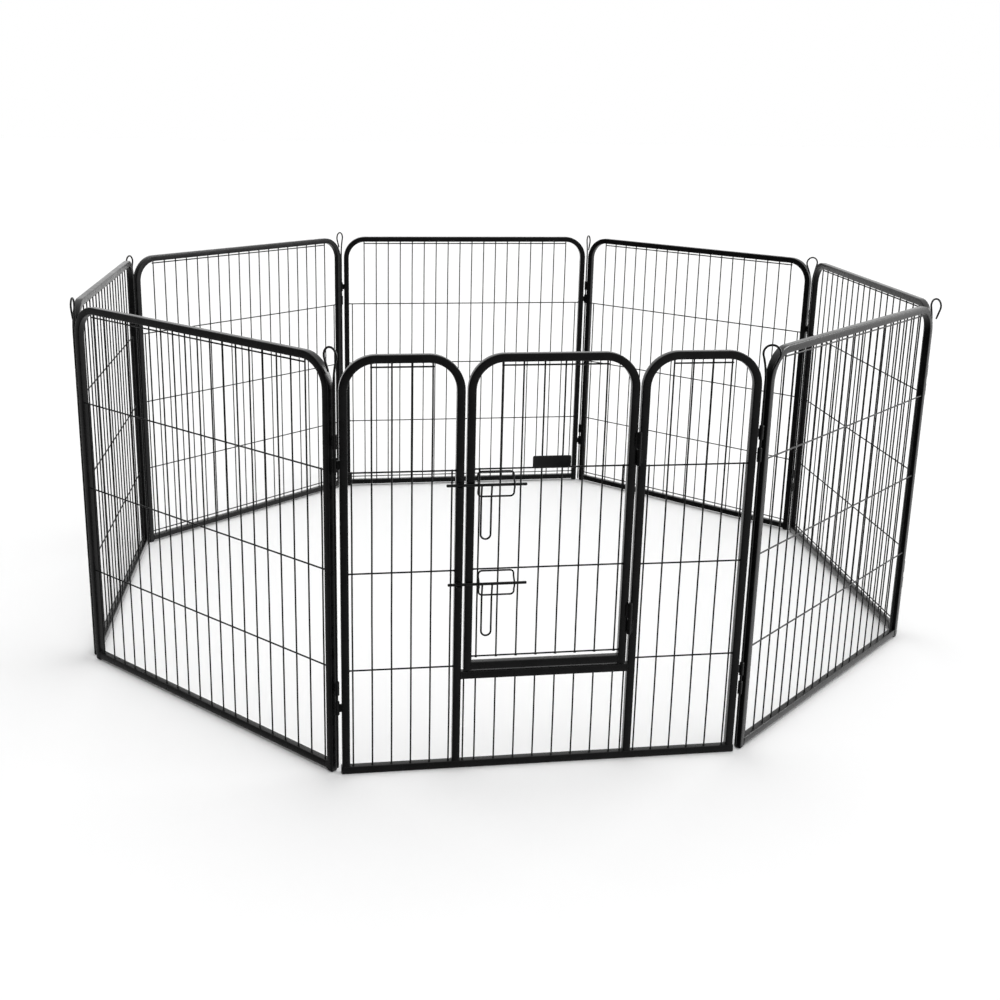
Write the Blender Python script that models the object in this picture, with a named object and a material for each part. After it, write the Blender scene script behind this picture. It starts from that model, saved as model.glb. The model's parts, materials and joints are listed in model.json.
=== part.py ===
"""Eight-panel pet playpen: arched steel tube panels filled with wire grids, joined in a ring by
lift-out corner pins, with a latched door in the front panel.

Units are metres, +Z is up and the ground is z = 0. Each panel is drawn in its own frame: x runs
along the panel from the corner axis at its start, y points into the pen, and z is height.
"""

from math import cos, pi, radians, sin, sqrt

import bmesh
import bpy
from mathutils import Matrix, Vector

# Panels
PANEL_WIDTH = 0.770
PANEL_TOP = 0.805
TUBE = 0.015
WALL = 0.0012
TUBE_FOOT = 0.005
CORNER_RADIUS = 0.066
CORNER_STEPS = 5
GAP = 0.0003
OVERRUN = 0.01

# The ring: each corner's axis stands this far outside the panel edges, and the four turns at the
# corners repeat, so the ring is the same after half a turn and always closes.
AXIS_OFFSET = 0.008
SIDE = PANEL_WIDTH + 2 * AXIS_OFFSET
TURNS = {"front_left": 49.5, "front_right": 41.3, "side_front": 45.1, "side_back": 44.1}

# Wire grids
WIRE_RADIUS = 0.0016
WIRE_SPREAD = WIRE_RADIUS * sqrt(pi / 2)
WIRE_PITCH = 0.03784
WIRE_COUNT = 20
FIRST_WIRE = 0.0255
CROSS_WIRES = (0.216, 0.406, 0.5955)
FULL_WELD_WIRE = 0.406
SIDE_CROSS_WIRES = (0.2112, 0.402, 0.593)
DOOR_CROSS_WIRES = (0.230, 0.4036, 0.5948)
TOP_WIRE = 0.7838
SIDE_TOP_WIRE = 0.7830
OVERHANG = 0.0016
BOTTOM_WIRE = 0.0290
WELD_COLUMNS = (1, 7, 12, 18)
WIRE_Y = -0.0006
CROSS_Y = -0.0030
RECESS = 0.0020

# Corner knuckles and pins
BARREL_RADIUS = 0.0044
BORE_RADIUS = 0.0028
BARREL_HEIGHT = 0.027
TAB_HEIGHT = 0.016
TAB_THICKNESS = 0.0024
TAB_REACH = 0.0034
START_KNUCKLES = (0.0, 1, (0.122, 0.594))
END_KNUCKLES = (SIDE, -1, (0.162, 0.6365))
BARREL_SIDES = 8
PIN_RADIUS = 0.0021
PIN_TIP = 0.0105
LOOP_TOP = 0.820
LOOP_RADIUS = 0.0155
LOOP_CENTRE = -0.0078
PIN_NECK = ((0.0, 0.752), (0.0022, 0.770))
LOOP_TAIL = (-0.0125, 0.7735)

# Each pin's turn about its own axis, and how far it has slipped down
PINS = {
    "pin_front_left": (-49.0, 0.0),
    "pin_front_right": (158.0, 0.004),
    "pin_right_1": (62.4, 0.0025),
    "pin_right_2": (-84.0, 0.0065),
    "pin_back": (-36.5, 0.009),
    "pin_left_1": (134.3, 0.001),
    "pin_left_2": (157.9, 0.008),
    "pin_left_3": (-167.7, 0.0),
}

# Front panel and door
ARCH_WIDTH = 0.224
SILL_TOP = 0.200
RAIL_TOP = TUBE
DOOR_LEFT = 0.2285
DOOR_RIGHT = 0.5415
DOOR_BOTTOM = 0.2038
DOOR_WIRES = (0.2525, 0.038, 8)
DOOR_WIRE_FOOT = 0.2270
SIDE_WIRES = (0.0214, 0.0362, 6)
SILL_WIRES = (0.2301, 0.2525, 0.0380, 8, 0.5405)
DOOR_AXIS = (0.54375, -0.0120)
HINGE_SPANS = ((0.2645, 0.3265), (0.5960, 0.6580))
HINGE_RADIUS = 0.0040
HINGE_BORE = 0.0024
HINGE_REACH = 0.0075
HINGE_PIN_RADIUS = 0.0019
PLATE_SPOT = (0.3485, -0.0061, 0.5941)
PLATE_SIZE = (0.0705, 0.0233)

# Latches: each bolt's left end and height, and where its guide and keeper stand from there
BOLT_RADIUS = 0.00275
BOLT_LENGTH = 0.147
BOLT_Y = -0.0120
LATCHES = {"upper": (0.1910, 0.5670), "lower": (0.1955, 0.3770)}
KEEPER_X = 0.2165
GUIDE_OFFSET = (0.0570, 0.0243)
GUIDE_Y = -0.0070
GUIDE_SIZE = (0.0665, 0.0455)
GUIDE_RADIUS = 0.0017
HANDLE_RADIUS = 0.0018


# ---------------------------------------------------------------- scene and mesh helpers


def clear_scene():
    for item in list(bpy.data.objects):
        bpy.data.objects.remove(item, do_unlink=True)


def make_collections():
    parts = bpy.data.collections.new("pet_playpen")
    cutters = bpy.data.collections.new("cutters")
    for collection in (parts, cutters):
        bpy.context.scene.collection.children.link(collection)
    return parts, cutters


def make_material(name, colour, roughness, metallic):
    material = bpy.data.materials.new(name)
    material.use_nodes = True
    shader = material.node_tree.nodes["Principled BSDF"]
    shader.inputs["Base Color"].default_value = (*colour, 1.0)
    shader.inputs["Roughness"].default_value = roughness
    shader.inputs["Metallic"].default_value = metallic
    return material


def helper(name, mesh):
    """A working solid, kept out of the finished part."""
    item = bpy.data.objects.new(name, mesh)
    item.hide_render = True
    item.display_type = "WIRE"
    CUTTERS.objects.link(item)
    return item


def frozen(item):
    """The mesh of an object with its modifiers applied."""
    graph = bpy.context.evaluated_depsgraph_get()
    return bpy.data.meshes.new_from_object(item.evaluated_get(graph))


def joined(name, mesh, *steps):
    """mesh after the Boolean steps, each an operation and the mesh that it uses."""
    base = helper(name + "_base", mesh)
    for index, (operation, other) in enumerate(steps):
        step = base.modifiers.new(f"step_{index}", "BOOLEAN")
        step.operation = operation
        step.solver = "EXACT"
        step.object = helper(f"{name}_step_{index}", other)
    result = frozen(base)
    result.name = name
    return result


def finish_mesh(mesh, material):
    mesh.materials.clear()
    mesh.materials.append(material)
    mesh.shade_smooth()
    mesh.set_sharp_from_angle(angle=radians(40))
    return mesh


# ---------------------------------------------------------------- simple solids


def rods(name, spans, radius, sides):
    """One mesh of separate straight rods, each given by its two end points."""
    work = bmesh.new()
    for start, end in spans:
        start, end = Vector(start), Vector(end)
        along = end - start
        turn = along.to_track_quat("Z", "Y").to_matrix().to_4x4()
        bmesh.ops.create_cone(
            work,
            cap_ends=True,
            segments=sides,
            radius1=radius,
            radius2=radius,
            depth=along.length,
            matrix=Matrix.Translation((start + end) / 2) @ turn,
        )
    return to_mesh(work, name)


def boxes(name, corners):
    """One mesh of separate boxes, each given by its lowest and highest corner."""
    work = bmesh.new()
    for low, high in corners:
        low, high = Vector(low), Vector(high)
        size = high - low
        bmesh.ops.create_cube(
            work, size=1.0, matrix=Matrix.Translation((low + high) / 2) @ Matrix.Diagonal((*size, 1.0))
        )
    return to_mesh(work, name)


def to_mesh(work, name):
    bmesh.ops.recalc_face_normals(work, faces=work.faces)
    mesh = bpy.data.meshes.new(name)
    work.to_mesh(mesh)
    work.free()
    return mesh


def mesh_from_curve(name, curve, turn=None):
    """The welded mesh of a curve, after an optional turn of its own axes."""
    guide = bpy.data.objects.new(name, curve)
    CUTTERS.objects.link(guide)
    mesh = frozen(guide)
    work = bmesh.new()
    work.from_mesh(mesh)
    bmesh.ops.remove_doubles(work, verts=work.verts, dist=0.00001)
    if turn is not None:
        bmesh.ops.transform(work, matrix=turn, verts=work.verts)
    bpy.data.objects.remove(guide, do_unlink=True)
    return to_mesh(work, name)


def sheet(name, loops, half_thickness, turn=None):
    """An outline with holes, in x and z, made half_thickness thick each way along y."""
    curve = bpy.data.curves.new(name, "CURVE")
    curve.dimensions = "2D"
    curve.fill_mode = "BOTH"
    curve.extrude = half_thickness
    for loop in loops:
        spline = curve.splines.new("POLY")
        spline.points.add(len(loop) - 1)
        for point, (x, z) in zip(spline.points, loop):
            point.co = (x, z, 0.0, 1.0)
        spline.use_cyclic_u = True
    return mesh_from_curve(name, curve, turn or Matrix.Rotation(pi / 2, 4, "X"))


def bent_wire(name, points, radius, resolution, closed=False):
    curve = bpy.data.curves.new(name, "CURVE")
    curve.dimensions = "3D"
    curve.bevel_depth = radius
    curve.bevel_resolution = resolution
    curve.use_fill_caps = True
    spline = curve.splines.new("POLY")
    spline.points.add(len(points) - 1)
    for point, place in zip(spline.points, points):
        point.co = (*place, 1.0)
    spline.use_cyclic_u = closed
    return mesh_from_curve(name, curve)


def arc(centre, radius, start, end, steps):
    """Points in a plane along an arc, both ends included; angles in degrees."""
    angles = [radians(start + (end - start) * step / steps) for step in range(steps + 1)]
    return [(centre[0] + radius * cos(a), centre[1] + radius * sin(a)) for a in angles]


def arch_top(left, right, top, radius):
    """The rounded top of an arch, from its right side over to its left side."""
    right_bend = arc((right - radius, top - radius), radius, 0, 90, CORNER_STEPS)
    left_bend = arc((left + radius, top - radius), radius, 90, 180, CORNER_STEPS)
    return right_bend + left_bend


def window(left, right, bottom, top, radius):
    """An arched opening with square lower corners."""
    return [(left, bottom), (right, bottom)] + arch_top(left, right, top, radius)


# ---------------------------------------------------------------- tube frames


def arched_frame(name, left, right, bottom):
    """A hollow arch of square tube with a rail between its feet, open at both feet."""
    inner_radius = CORNER_RADIUS - TUBE
    outline = window(left, right, bottom, PANEL_TOP, CORNER_RADIUS)
    hole = window(left + TUBE, right - TUBE, bottom + TUBE, PANEL_TOP - TUBE, inner_radius)
    below = bottom - OVERRUN
    bore_left, bore_right = left + TUBE - WALL, right - TUBE + WALL
    bore_outline = [
        (left + WALL, below),
        (bore_left, below),
        (bore_left, bottom + WALL),
        (bore_right, bottom + WALL),
        (bore_right, below),
        (right - WALL, below),
    ] + arch_top(left + WALL, right - WALL, PANEL_TOP - WALL, CORNER_RADIUS - WALL)
    bore_hole = window(
        bore_left, bore_right, bottom + TUBE - WALL, PANEL_TOP - TUBE + WALL, inner_radius + WALL
    )
    solid = sheet(name + "_solid", [outline, hole], TUBE / 2)
    bore = sheet(name + "_bore", [bore_outline, bore_hole], TUBE / 2 - WALL)
    return solid, ("DIFFERENCE", bore)


def arch_band(left, right, foot, top, radius, depth):
    """An arch of constant depth that stands on two feet, as one closed outline."""
    outer = arch_top(left, right, top, radius)
    inner = arch_top(left + depth, right - depth, top - depth, radius - depth)
    left_foot = [(left, foot), (left + depth, foot)]
    return [(right, foot)] + outer + left_foot + inner[::-1] + [(right - depth, foot)]


def open_arch(name, left, right, foot):
    """A hollow arch of square tube, open at both feet."""
    outline = arch_band(left, right, foot, PANEL_TOP, CORNER_RADIUS, TUBE)
    bore_outline = arch_band(
        left + WALL, right - WALL, foot - OVERRUN, PANEL_TOP - WALL, CORNER_RADIUS - WALL, TUBE - 2 * WALL
    )
    bore = sheet(name + "_bore", [bore_outline], TUBE / 2 - WALL)
    return sheet(name + "_solid", [outline], TUBE / 2), ("DIFFERENCE", bore)


def straight_tube(name, left, right, bottom):
    """A level square tube, open at both ends."""
    half, top = TUBE / 2, bottom + TUBE
    low = (left - OVERRUN, WALL - half, bottom + WALL)
    high = (right + OVERRUN, half - WALL, top - WALL)
    bore = boxes(name + "_bore", [(low, high)])
    return boxes(name + "_solid", [((left, -half, bottom), (right, half, top))]), ("DIFFERENCE", bore)


def knuckles(name, *ends):
    """Boolean steps that weld two bored barrels beyond the upright at each of these ends of a panel."""
    barrels, tabs, bores = [], [], []
    half = TAB_THICKNESS / 2
    for x, side, heights in ends:
        near, far = sorted((x + side * TAB_REACH, x + side * (AXIS_OFFSET + WALL / 2)))
        for bottom in heights:
            top = bottom + BARREL_HEIGHT
            middle = (bottom + top) / 2
            barrels.append(((x, 0, bottom), (x, 0, top)))
            bores.append(((x, 0, bottom - OVERRUN), (x, 0, top + OVERRUN)))
            tabs.append(((near, -half, middle - TAB_HEIGHT / 2), (far, half, middle + TAB_HEIGHT / 2)))
    return (
        ("UNION", boxes(name + "_tabs", tabs)),
        ("UNION", rods(name + "_barrels", barrels, BARREL_RADIUS, BARREL_SIDES)),
        ("DIFFERENCE", rods(name + "_bores", bores, BORE_RADIUS, BARREL_SIDES)),
    )


def door_barrels(name, on_door):
    """Boolean steps for this frame's half of both door hinges: the door carries the upper half."""
    axis_x, axis_y = AXIS_OFFSET + DOOR_AXIS[0], DOOR_AXIS[1]
    barrels, straps, bores = [], [], []
    reach = -HINGE_REACH if on_door else HINGE_REACH
    near, far = sorted((axis_x + reach / 2.4, axis_x + reach))
    for bottom, top in HINGE_SPANS:
        split = (bottom + top) / 2
        low, high = (split + GAP, top) if on_door else (bottom, split - GAP)
        barrels.append(((axis_x, axis_y, low), (axis_x, axis_y, high)))
        bores.append(((axis_x, axis_y, low - OVERRUN), (axis_x, axis_y, high + OVERRUN)))
        straps.append(((near, axis_y + 0.001, low + 0.003), (far, -TUBE / 2 + WALL / 2, high - 0.003)))
    return (
        ("UNION", boxes(name + "_straps", straps)),
        ("UNION", rods(name + "_hinges", barrels, HINGE_RADIUS, BARREL_SIDES)),
        ("DIFFERENCE", rods(name + "_hinge_bores", bores, HINGE_BORE, BARREL_SIDES)),
    )


# ---------------------------------------------------------------- wire grids


def under_arch(x, left, right):
    """The height of the inside of an arch above x, from the flats of its faceted bends."""
    bend = CORNER_RADIUS - TUBE
    into_bend = max(left + CORNER_RADIUS - x, x - right + CORNER_RADIUS, 0.0) + WIRE_SPREAD
    flat = bend * cos(pi / (4 * CORNER_STEPS))
    rise = sqrt(flat * flat - into_bend * into_bend)
    return min(PANEL_TOP - TUBE, PANEL_TOP - CORNER_RADIUS + rise) - GAP


def diamond_rods(name, spans):
    """Straight wires drawn with four sides, edge towards edge, at a round wire's cross-section."""
    return rods(name, spans, WIRE_SPREAD, 4)


def panel_grid(name, has_bottom_wire):
    """Twenty uprights and their cross wires. Four columns stand forward and meet every cross wire."""
    left, right = AXIS_OFFSET + TUBE + GAP, SIDE - AXIS_OFFSET - TUBE - GAP
    low = TUBE_FOOT + TUBE + GAP
    columns = [AXIS_OFFSET + FIRST_WIRE + WIRE_PITCH * index for index in range(WIRE_COUNT)]
    uprights = []
    for index, x in enumerate(columns):
        outer = index in (0, WIRE_COUNT - 1)
        y = WIRE_Y if index in WELD_COLUMNS else WIRE_Y + RECESS
        top = CROSS_WIRES[-1] - 0.004 if outer else under_arch(x, AXIS_OFFSET, SIDE - AXIS_OFFSET)
        uprights.append(((x, y, low), (x, y, top)))
    crossings = []
    for z in CROSS_WIRES + ((BOTTOM_WIRE,) if has_bottom_wire else ()):
        y = CROSS_Y + RECESS if z == FULL_WELD_WIRE else CROSS_Y
        crossings.append(((left, y, z), (right, y, z)))
    crossings.append(top_wire(columns, TOP_WIRE))
    across = diamond_rods(name + "_across", crossings)
    return joined(name, diamond_rods(name + "_up", uprights), ("UNION", across))


def top_wire(columns, height):
    """The short wire just under the arch, from the second column to the last but one."""
    return (columns[1] - OVERHANG, CROSS_Y, height), (columns[-2] + OVERHANG, CROSS_Y, height)


def small_grid(name, left, right, low, columns, cross_wires, top):
    """A narrow grid, welded at every crossing. Its outer columns stop at the highest long wire."""
    uprights = []
    for index, x in enumerate(columns):
        outer = index in (0, len(columns) - 1)
        high = cross_wires[-1] + OVERHANG if outer else under_arch(x, left, right)
        uprights.append(((x, WIRE_Y, low), (x, WIRE_Y, high)))
    inside = (left + TUBE + GAP, right - TUBE - GAP)
    crossings = [((inside[0], CROSS_Y, z), (inside[1], CROSS_Y, z)) for z in cross_wires]
    crossings.append(top_wire(columns, top))
    across = diamond_rods(name + "_across", crossings)
    return joined(name, diamond_rods(name + "_up", uprights), ("UNION", across))


def side_grid(name, mirrored):
    """The grid of one arch beside the doorway."""
    first, pitch, count = SIDE_WIRES
    columns = [AXIS_OFFSET + first + pitch * index for index in range(count)]
    left, right = AXIS_OFFSET, AXIS_OFFSET + ARCH_WIDTH
    if mirrored:
        columns = [SIDE - x for x in reversed(columns)]
        left, right = SIDE - right, SIDE - left
    return small_grid(name, left, right, RAIL_TOP + GAP, columns, SIDE_CROSS_WIRES, SIDE_TOP_WIRE)


def door_grid(name):
    first, pitch, count = DOOR_WIRES
    columns = [AXIS_OFFSET + first + pitch * index for index in range(count)]
    left, right = AXIS_OFFSET + DOOR_LEFT, AXIS_OFFSET + DOOR_RIGHT
    return small_grid(name, left, right, DOOR_WIRE_FOOT, columns, DOOR_CROSS_WIRES, TOP_WIRE)


def door_sill(name):
    """The bar under the door, a tube open at both ends, with the short wires welded below it."""
    left = AXIS_OFFSET + ARCH_WIDTH + GAP
    right = SIDE - left
    bottom = SILL_TOP - TUBE
    bar, bore = straight_tube(name, left, right, bottom)
    edge, first, pitch, count, other_edge = SILL_WIRES
    places = [edge] + [first + pitch * index for index in range(count)] + [other_edge]
    low, high = RAIL_TOP + GAP, bottom + WALL / 2
    wires = [((AXIS_OFFSET + x, WIRE_Y, low), (AXIS_OFFSET + x, WIRE_Y, high)) for x in places]
    return joined(name, bar, bore, ("UNION", diamond_rods(name + "_wires", wires)))


# ---------------------------------------------------------------- pins, plugs and latches


def corner_pin(name):
    """A straight rod whose top is bent into an open hand loop, leaning to -x."""
    centre = (LOOP_CENTRE, LOOP_TOP - PIN_RADIUS - LOOP_RADIUS)
    bend = arc(centre, LOOP_RADIUS, -18, 205, 12)
    path = [(0.0, PIN_TIP), *PIN_NECK] + bend + [LOOP_TAIL]
    return bent_wire(name, [(x, 0.0, z) for x, z in path], PIN_RADIUS, 1)


def plug(name, head, depth, bevel):
    """A push-in tube plug: its head hangs below the tube end at z = 0 and its stem stands inside."""
    stem = TUBE - 2 * WALL - 2 * GAP
    work = bmesh.new()
    place = Matrix.Translation((0, 0, -GAP - depth / 2)) @ Matrix.Diagonal((head, head, depth, 1.0))
    bmesh.ops.create_cube(work, size=1.0, matrix=place)
    lower = [edge for edge in work.edges if all(v.co.z < -depth / 2 - GAP for v in edge.verts)]
    bmesh.ops.bevel(work, geom=lower, offset=bevel, segments=2, profile=0.5, affect="EDGES")
    top = max(work.faces, key=lambda face: face.calc_center_median().z)
    bmesh.ops.inset_region(work, faces=[top], thickness=(head - stem) / 2, use_even_offset=True)
    raised = bmesh.ops.extrude_discrete_faces(work, faces=[top])["faces"][0]
    bmesh.ops.translate(work, verts=raised.verts, vec=(0, 0, 0.012 + GAP))
    return to_mesh(work, name)


def latch_bolt(name):
    """A round bolt along +x from the origin, with a long U-shaped handle hanging from it."""
    rod = rods(name + "_rod", [((0, 0, 0), (BOLT_LENGTH, 0, 0))], BOLT_RADIUS, 10)
    left, right, radius, drop = 0.0645, 0.0830, 0.0092, 0.1045
    bottom = arc(((left + right) / 2, -drop + radius), radius, 180, 360, 6)
    lean = 0.0050
    path = [(left, 0.0, 0.0), (left, lean, -0.022)]
    path += [(x, lean, z) for x, z in bottom]
    path += [(right, lean, -0.022), (right, 0.0, 0.0)]
    return joined(name, rod, ("UNION", bent_wire(name + "_handle", path, HANDLE_RADIUS, 1)))


def bolt_guide(name):
    """A closed wire loop that bulges outwards at the bolt. Its top left corner is the origin."""
    (width, height), radius = GUIDE_SIZE, 0.007
    out_top, out_bolt, out_bottom = 0.0, -0.0112, -0.0066
    side = [(-0.0108, out_top), (-0.0213, out_bolt), (-0.0273, out_bolt), (-0.0353, out_bottom)]
    path = []
    for x, z in arc((width - radius, -radius), radius, 90, 0, 3):
        path.append((x, out_top, z))
    path += [(width, y, z) for z, y in side]
    for x, z in arc((width - radius, -height + radius), radius, 0, -90, 3):
        path.append((x, out_bottom, z))
    for x, z in arc((radius, -height + radius), radius, 270, 180, 3):
        path.append((x, out_bottom, z))
    path += [(0.0, y, z) for z, y in reversed(side)]
    for x, z in arc((radius, -radius), radius, 180, 90, 3):
        path.append((x, out_top, z))
    return bent_wire(name, path, GUIDE_RADIUS, 1, closed=True)


def bolt_keeper(name):
    """A plate with two ears, open to the front: y = 0 is its back and z = 0 the bolt's height."""
    plate, reach, inner, outer, half = 0.0010, 0.0077, 0.0034, 0.0049, 0.0130
    profile = [
        (0.0, -half),
        (plate, -half),
        (plate, -outer),
        (reach, -outer),
        (reach, -inner),
        (plate, -inner),
        (plate, inner),
        (reach, inner),
        (reach, outer),
        (plate, outer),
        (plate, half),
        (0.0, half),
    ]
    turn = Matrix.Rotation(-pi / 2, 4, "Z") @ Matrix.Rotation(pi / 2, 4, "X")
    return sheet(name, [profile], 0.0045, turn)


def hinge_pin(name, length):
    """A headed hinge pin, from z = 0 up, with its head resting above the door's barrel."""
    shank = rods(name + "_shank", [((0, 0, 0), (0, 0, length + 0.0005))], HINGE_PIN_RADIUS, 8)
    head = rods(name + "_head", [((0, 0, length), (0, 0, length + 0.0014))], 0.0036, 8)
    return joined(name, shank, ("UNION", head))


def blank_plate(name):
    (width, height), radius = PLATE_SIZE, 0.003
    outline = []
    for x, z, start in ((width, height, 0), (0, height, 90), (0, 0, 180), (width, 0, 270)):
        centre = (abs(x - radius), abs(z - radius))
        outline += arc(centre, radius, start, start + 90, 3)
    return sheet(name, [outline], 0.00075)


# ---------------------------------------------------------------- assembly


def pivot(name, parent, x, turn):
    """An empty on a corner's axis, turned about +z from its parent."""
    empty = bpy.data.objects.new(name, None)
    empty.parent = parent
    empty.location = (x, 0, 0)
    empty.rotation_euler = (0, 0, radians(turn))
    PARTS.objects.link(empty)
    return empty


def place(name, mesh, parent, location=(0, 0, 0), rotation=(0, 0, 0)):
    item = bpy.data.objects.new(name, mesh)
    item.parent = parent
    item.location = location
    item.rotation_euler = [radians(angle) for angle in rotation]
    PARTS.objects.link(item)
    return item


def ring_start():
    """The front left corner, where the front panel starts, with the ring centred on the origin."""
    turns = list(TURNS.values())
    order = [turns[1], turns[2], turns[3], turns[0]] * 2
    corner, heading, corners = Vector((0, 0)), 0.0, []
    for turn in order:
        corners.append(corner.copy())
        corner += SIDE * Vector((cos(radians(heading)), sin(radians(heading))))
        heading += turn
    centre = sum(corners, Vector((0, 0))) / len(corners)
    return -centre


def make_meshes():
    coat, wire = MATERIALS["tube_coat"], MATERIALS["wire_coat"]
    rod, rubber = MATERIALS["rod_coat"], MATERIALS["plug_plastic"]
    end = AXIS_OFFSET + PANEL_WIDTH
    solid, bore = arched_frame("panel", AXIS_OFFSET, end, TUBE_FOOT)
    panel = joined("panel_frame", solid, bore, *knuckles("panel", START_KNUCKLES, END_KNUCKLES))
    rail = joined("front_rail", *straight_tube("rail", AXIS_OFFSET, end, 0.0))
    foot = RAIL_TOP + GAP
    solid, bore = open_arch("left_arch", AXIS_OFFSET, AXIS_OFFSET + ARCH_WIDTH, foot)
    left_arch = joined("left_arch", solid, bore, *knuckles("left_arch", START_KNUCKLES))
    solid, bore = open_arch("right_arch", end - ARCH_WIDTH, end, foot)
    steps = knuckles("right_arch", END_KNUCKLES) + door_barrels("post", False)
    right_arch = joined("right_arch", solid, bore, *steps)
    door_edges = (AXIS_OFFSET + DOOR_LEFT, AXIS_OFFSET + DOOR_RIGHT)
    solid, bore = arched_frame("door", *door_edges, DOOR_BOTTOM)
    door = joined("door_frame", solid, bore, *door_barrels("door", True))
    hinge_length = HINGE_SPANS[0][1] - HINGE_SPANS[0][0] + GAP
    made = {
        "panel_frame": (panel, coat),
        "front_rail": (rail, coat),
        "left_arch": (left_arch, coat),
        "right_arch": (right_arch, coat),
        "door_frame": (door, coat),
        "near_grid": (panel_grid("near_grid", False), wire),
        "far_grid": (panel_grid("far_grid", True), wire),
        "left_grid": (side_grid("left_grid", False), wire),
        "right_grid": (side_grid("right_grid", True), wire),
        "door_grid": (door_grid("door_grid"), wire),
        "sill": (door_sill("sill"), coat),
        "pin": (corner_pin("pin"), rod),
        "foot": (plug("foot", 0.0142, TUBE_FOOT - GAP, 0.0030), rubber),
        "end_plug": (plug("end_plug", 0.0146, 0.0014, 0.0006), rubber),
        "bolt": (latch_bolt("bolt"), rod),
        "guide": (bolt_guide("guide"), rod),
        "keeper": (bolt_keeper("keeper"), rod),
        "hinge_pin": (hinge_pin("hinge_pin", hinge_length), rod),
        "blank": (blank_plate("blank"), MATERIALS["plate_plastic"]),
    }
    return {name: finish_mesh(mesh, material) for name, (mesh, material) in made.items()}


def add_panel(name, meshes, grid, parent, x):
    """A plain panel: its frame, grid and two feet, starting at x in its pivot's frame."""
    place(f"{name}_frame", meshes["panel_frame"], parent, (x, 0, 0))
    place(f"{name}_wires", meshes[grid], parent, (x, 0, 0))
    for end, along in (("start", AXIS_OFFSET + TUBE / 2), ("end", SIDE - AXIS_OFFSET - TUBE / 2)):
        place(f"{name}_foot_{end}", meshes["foot"], parent, (x + along, 0, TUBE_FOOT))


def add_pin(name, meshes, parent, x):
    turn, drop = PINS[name]
    place(name, meshes["pin"], parent, (x, 0, -drop), (0, 0, turn))


def add_front(meshes, parent):
    place("front_rail", meshes["front_rail"], parent)
    place("front_arch_left", meshes["left_arch"], parent)
    place("front_arch_right", meshes["right_arch"], parent)
    place("front_wires_left", meshes["left_grid"], parent)
    place("front_wires_right", meshes["right_grid"], parent)
    place("door_sill", meshes["sill"], parent)
    rail = TUBE / 2
    place("rail_plug_left", meshes["end_plug"], parent, (AXIS_OFFSET, 0, rail), (0, 90, 0))
    place("rail_plug_right", meshes["end_plug"], parent, (SIDE - AXIS_OFFSET, 0, rail), (0, -90, 0))
    hinge_x = AXIS_OFFSET + DOOR_AXIS[0]
    for name, (bottom, _) in zip(("lower", "upper"), HINGE_SPANS):
        place(f"door_hinge_pin_{name}", meshes["hinge_pin"], parent, (hinge_x, DOOR_AXIS[1], bottom))
    keeper_x, keeper_y = AXIS_OFFSET + KEEPER_X, -TUBE / 2 - GAP
    for name, (_, height) in LATCHES.items():
        place(f"bolt_keeper_{name}", meshes["keeper"], parent, (keeper_x, keeper_y, height))


def add_door(meshes, parent):
    """The door and what it carries, hung from an empty on the door's axis."""
    hinge = Vector((AXIS_OFFSET + DOOR_AXIS[0], DOOR_AXIS[1], 0))
    axis = pivot("door_axis", parent, 0, 0)
    axis.location = hinge
    place("door_frame", meshes["door_frame"], axis, -hinge)
    place("door_wires", meshes["door_grid"], axis, -hinge)
    for name, x in (("left", DOOR_LEFT + TUBE / 2), ("right", DOOR_RIGHT - TUBE / 2)):
        spot = Vector((AXIS_OFFSET + x, 0, DOOR_BOTTOM))
        place(f"door_plug_{name}", meshes["end_plug"], axis, spot - hinge)
    plate_spot = Vector(PLATE_SPOT) + Vector((AXIS_OFFSET, 0, 0))
    place("blank_plate", meshes["blank"], axis, plate_spot - hinge)
    for name, (left, height) in LATCHES.items():
        bolt_spot = Vector((AXIS_OFFSET + left, BOLT_Y, height))
        place(f"latch_bolt_{name}", meshes["bolt"], axis, bolt_spot - hinge)
        guide_spot = Vector((AXIS_OFFSET + left + GUIDE_OFFSET[0], GUIDE_Y, height + GUIDE_OFFSET[1]))
        place(f"bolt_guide_{name}", meshes["guide"], axis, guide_spot - hinge)


def build():
    meshes = make_meshes()
    root = pivot("front_panel_axis", None, 0, 0)
    root.location = (*ring_start(), 0)
    add_front(meshes, root)
    add_door(meshes, root)
    add_pin("pin_front_left", meshes, root, 0)
    add_pin("pin_front_right", meshes, root, SIDE)

    right = (("front_right", "near_grid"), ("side_front", "far_grid"), ("side_back", "far_grid"))
    parent, along = root, SIDE
    for index, (turn, grid) in enumerate(right, 1):
        parent = pivot(f"right_panel_{index}_axis", parent, along, TURNS[turn])
        add_panel(f"right_panel_{index}", meshes, grid, parent, 0)
        add_pin("pin_back" if index == 3 else f"pin_right_{index}", meshes, parent, SIDE)

    left = ("front_left", "side_back", "side_front", "front_right")
    parent, along = root, 0
    for index, turn in enumerate(left, 1):
        parent = pivot(f"left_panel_{index}_axis", parent, along, -TURNS[turn])
        grid = "near_grid" if index == 1 else "far_grid"
        add_panel(f"left_panel_{index}", meshes, grid, parent, -SIDE)
        along = -SIDE
        if index < 4:
            add_pin(f"pin_left_{index}", meshes, parent, along)


clear_scene()
PARTS, CUTTERS = make_collections()
MATERIALS = {
    "tube_coat": make_material("tube_coat", (0.012, 0.012, 0.013), 0.38, 0.0),
    "wire_coat": make_material("wire_coat", (0.016, 0.016, 0.017), 0.42, 0.0),
    "rod_coat": make_material("rod_coat", (0.014, 0.014, 0.015), 0.36, 0.0),
    "plug_plastic": make_material("plug_plastic", (0.018, 0.018, 0.018), 0.60, 0.0),
    "plate_plastic": make_material("plate_plastic", (0.020, 0.020, 0.020), 0.55, 0.0),
}
build()
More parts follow.
